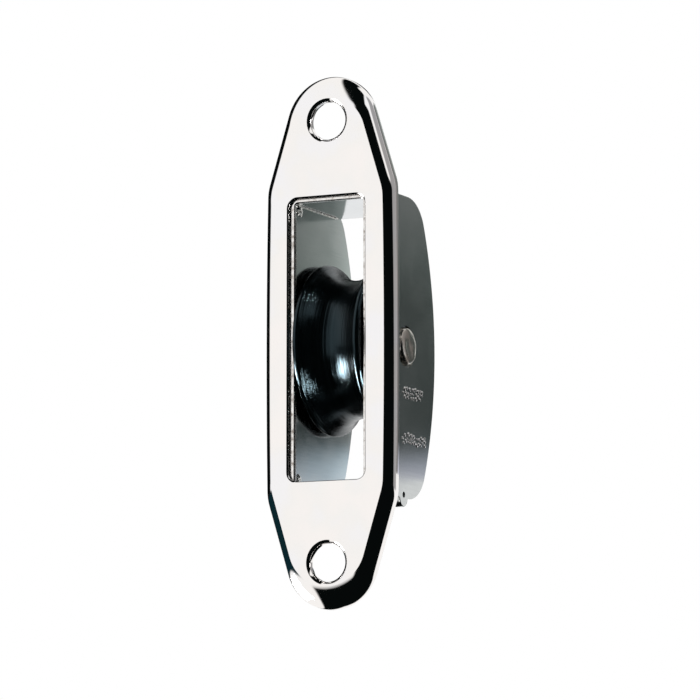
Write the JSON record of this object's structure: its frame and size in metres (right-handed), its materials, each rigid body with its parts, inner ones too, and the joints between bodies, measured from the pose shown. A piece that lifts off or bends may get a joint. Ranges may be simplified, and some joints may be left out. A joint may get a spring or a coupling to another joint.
{
  "type": "exit box with sheave",
  "caption": "Through-mast exit box: elongated cover plate with a window, two cheeks and end walls behind it, and a grooved sheave on a ball race.",
  "frame": {"origin": "centre of the cut-out that the box goes through, on the plane of the cover plate's rear rim, which lies on the mast or deck", "axes": "+Z along the plate towards its upper screw hole, +X to the right along the sheave's axle, +Y back through the cut-out into the mast, so the plate's front looks along -Y"},
  "size_m": [0.0246, 0.03, 0.092],
  "materials": {
    "polished_steel": "mirror-polished stainless steel",
    "satin_steel": "bright-rolled stainless sheet, fine grain",
    "axle_steel": "riveted stainless bar",
    "race_steel": "ground stainless sleeve",
    "black_acetal": "turned black acetal, fine circumferential lines",
    "white_acetal": "moulded natural acetal"
  },
  "bodies": {
    "housing": {"cover_plate": "polished_steel", "right_cheek": "satin_steel", "left_cheek": "satin_steel", "top_end_wall": "satin_steel", "bottom_end_wall": "satin_steel", "axle_pin": "axle_steel", "bearing_inner_race": "race_steel", "right_thrust_washer": "white_acetal", "left_thrust_washer": "white_acetal"},
    "sheave": {"sheave_wheel": "black_acetal", "right_ball_retainer": "black_acetal", "left_ball_retainer": "black_acetal"},
    "ball_set": {"right_ball_01": "white_acetal", "right_ball_02": "white_acetal", "right_ball_03": "white_acetal", "right_ball_04": "white_acetal", "right_ball_05": "white_acetal", "right_ball_06": "white_acetal", "right_ball_07": "white_acetal", "right_ball_08": "white_acetal", "right_ball_09": "white_acetal", "right_ball_10": "white_acetal", "right_ball_11": "white_acetal", "right_ball_12": "white_acetal", "left_ball_01": "white_acetal", "left_ball_02": "white_acetal", "left_ball_03": "white_acetal", "left_ball_04": "white_acetal", "left_ball_05": "white_acetal", "left_ball_06": "white_acetal", "left_ball_07": "white_acetal", "left_ball_08": "white_acetal", "left_ball_09": "white_acetal", "left_ball_10": "white_acetal", "left_ball_11": "white_acetal", "left_ball_12": "white_acetal"}
  },
  "joints": [
    {"name": "sheave_spin", "type": "hinge", "parent": "housing", "child": "sheave", "pos_m": [0, 0.0107, 0], "axis": [1, 0, 0], "continuous": true},
    {"name": "ball_orbit", "type": "hinge", "parent": "housing", "child": "ball_set", "pos_m": [0, 0.0107, 0], "axis": [1, 0, 0], "continuous": true}
  ],
  "couplings": [
    {"joint": "ball_orbit", "follows": "sheave_spin", "ratio": 0.6071}
  ]
}
